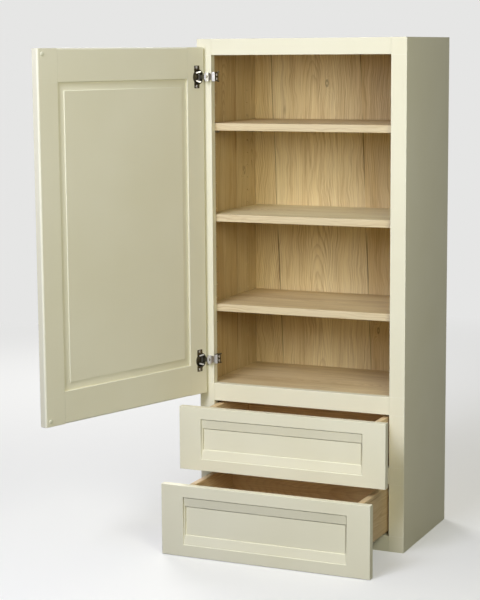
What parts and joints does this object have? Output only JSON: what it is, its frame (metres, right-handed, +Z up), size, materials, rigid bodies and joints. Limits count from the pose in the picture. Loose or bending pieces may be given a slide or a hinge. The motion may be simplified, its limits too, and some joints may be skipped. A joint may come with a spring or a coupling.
{
  "type": "wall cabinet",
  "caption": "Painted face-frame wall cabinet with a panelled door on cup hinges, loose shelves on pins and panelled drawers on undermount slides.",
  "frame": {"origin": "middle of the box's width and depth on its underside, at the base mount", "axes": "+X to the right seen from the front, -Y out of the front, +Z up"},
  "size_m": [0.6912, 0.8321, 1.2192],
  "materials": {
    "cream_paint": "satin cream paint",
    "maple_veneer": "clear satin lacquer",
    "pale_maple": "clear satin lacquer",
    "hinge_nickel": "bright nickel plate",
    "slide_zinc": "zinc plate",
    "socket_plastic": "moulded"
  },
  "bodies": {
    "cabinet": {"back_panel": "maple_veneer", "bottom_panel": "maple_veneer", "bottom_rail": "cream_paint", "deck_panel": "maple_veneer", "drawer_rail": "cream_paint", "left_side": "maple_veneer", "left_stile": "cream_paint", "lower_hinge_arm": "hinge_nickel", "lower_left_cabinet_rail": "slide_zinc", "lower_left_rail_socket": "socket_plastic", "lower_right_cabinet_rail": "slide_zinc", "lower_right_rail_socket": "socket_plastic", "middle_rail": "cream_paint", "right_side": "maple_veneer", "right_stile": "cream_paint", "shelf_1": "pale_maple", "shelf_1_pin_left_back": "hinge_nickel", "shelf_1_pin_left_front": "hinge_nickel", "shelf_1_pin_right_back": "hinge_nickel", "shelf_1_pin_right_front": "hinge_nickel", "shelf_2": "pale_maple", "shelf_2_pin_left_back": "hinge_nickel", "shelf_2_pin_left_front": "hinge_nickel", "shelf_2_pin_right_back": "hinge_nickel", "shelf_2_pin_right_front": "hinge_nickel", "shelf_3": "pale_maple", "shelf_3_pin_left_back": "hinge_nickel", "shelf_3_pin_left_front": "hinge_nickel", "shelf_3_pin_right_back": "hinge_nickel", "shelf_3_pin_right_front": "hinge_nickel", "top_panel": "maple_veneer", "top_rail": "cream_paint", "upper_hinge_arm": "hinge_nickel", "upper_left_cabinet_rail": "slide_zinc", "upper_left_rail_socket": "socket_plastic", "upper_right_cabinet_rail": "slide_zinc", "upper_right_rail_socket": "socket_plastic"},
    "door": {"door_bottom_rail": "cream_paint", "door_free_stile": "cream_paint", "door_hinge_stile": "cream_paint", "door_panel": "cream_paint", "door_top_rail": "cream_paint", "lower_hinge_cup": "hinge_nickel", "upper_hinge_cup": "hinge_nickel"},
    "upper_drawer": {"upper_drawer_back": "pale_maple", "upper_drawer_bottom": "pale_maple", "upper_drawer_box_front": "pale_maple", "upper_drawer_front": "cream_paint", "upper_drawer_left_side": "pale_maple", "upper_drawer_right_side": "pale_maple", "upper_left_drawer_runner": "slide_zinc", "upper_right_drawer_runner": "slide_zinc"},
    "lower_drawer": {"lower_drawer_back": "pale_maple", "lower_drawer_bottom": "pale_maple", "lower_drawer_box_front": "pale_maple", "lower_drawer_front": "cream_paint", "lower_drawer_left_side": "pale_maple", "lower_drawer_right_side": "pale_maple", "lower_left_drawer_runner": "slide_zinc", "lower_right_drawer_runner": "slide_zinc"}
  },
  "joints": [
    {"name": "door_swing", "type": "hinge", "parent": "cabinet", "child": "door", "pos_m": [-0.2557, -0.17392, 0.7768], "axis": [0, 0, -1], "range_deg": [-108, 2]},
    {"name": "upper_drawer_pull", "type": "slide", "parent": "cabinet", "child": "upper_drawer", "axis": [0, -1, 0], "range_m": [-0.1045, 0.1245]},
    {"name": "lower_drawer_pull", "type": "slide", "parent": "cabinet", "child": "lower_drawer", "axis": [0, -1, 0], "range_m": [-0.2062, 0.0228]}
  ]
}
